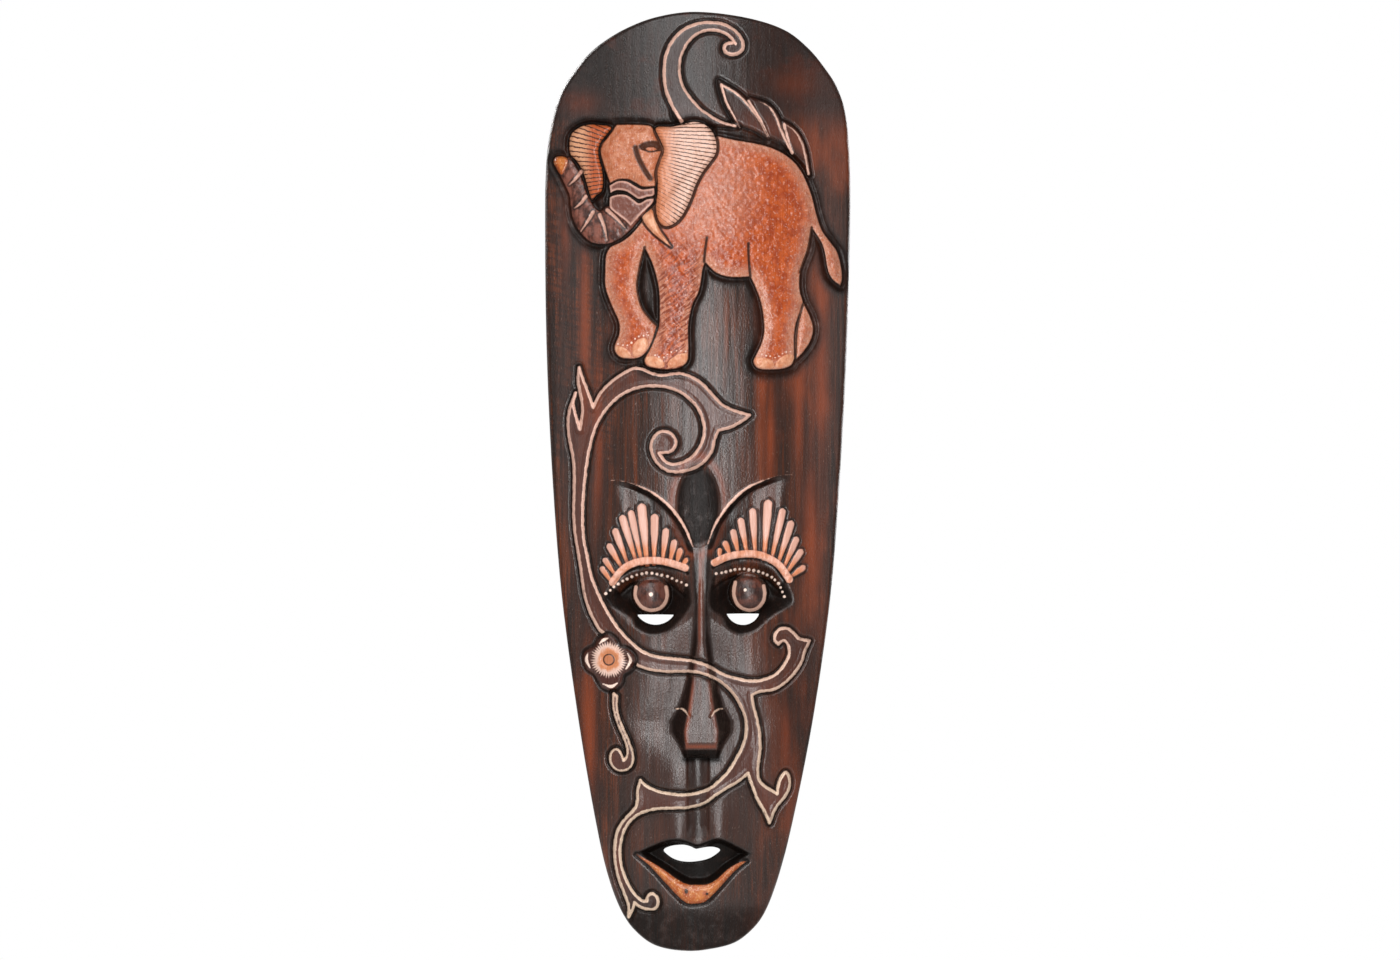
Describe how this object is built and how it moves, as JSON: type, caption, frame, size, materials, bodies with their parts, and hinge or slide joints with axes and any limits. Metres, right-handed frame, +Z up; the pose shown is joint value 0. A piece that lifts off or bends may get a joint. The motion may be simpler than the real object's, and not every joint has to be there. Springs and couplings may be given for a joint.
{
  "type": "carved wooden wall mask",
  "caption": "Long carved wooden wall mask with an elephant and vine relief, open eye slits and mouth, a hollow back and a swinging ring hanger.",
  "frame": {"origin": "the point on the wall plane behind the nail that the hanger ring hangs on", "axes": "+Z up from chin to crown, +Y from the carved face back into the wall, +X to the right seen from the front"},
  "size_m": [0.1632, 0.049, 0.5],
  "materials": {
    "carved_wood": "dark stain, painted lines and satin varnish",
    "strap_steel": "zinc plated",
    "ring_brass": "brass plated wire",
    "screw_steel": "zinc plated"
  },
  "bodies": {
    "mask": {"mask_body": "carved_wood", "hanger_strap": "strap_steel", "upper_screw": "screw_steel", "lower_screw": "screw_steel"},
    "ring": {"hanger_ring": "ring_brass"}
  },
  "joints": [
    {"name": "ring_swing", "type": "hinge", "parent": "mask", "child": "ring", "pos_m": [0, -0.01114, -0.01083], "axis": [-1, 0, 0], "range_deg": [0, 160]}
  ]
}
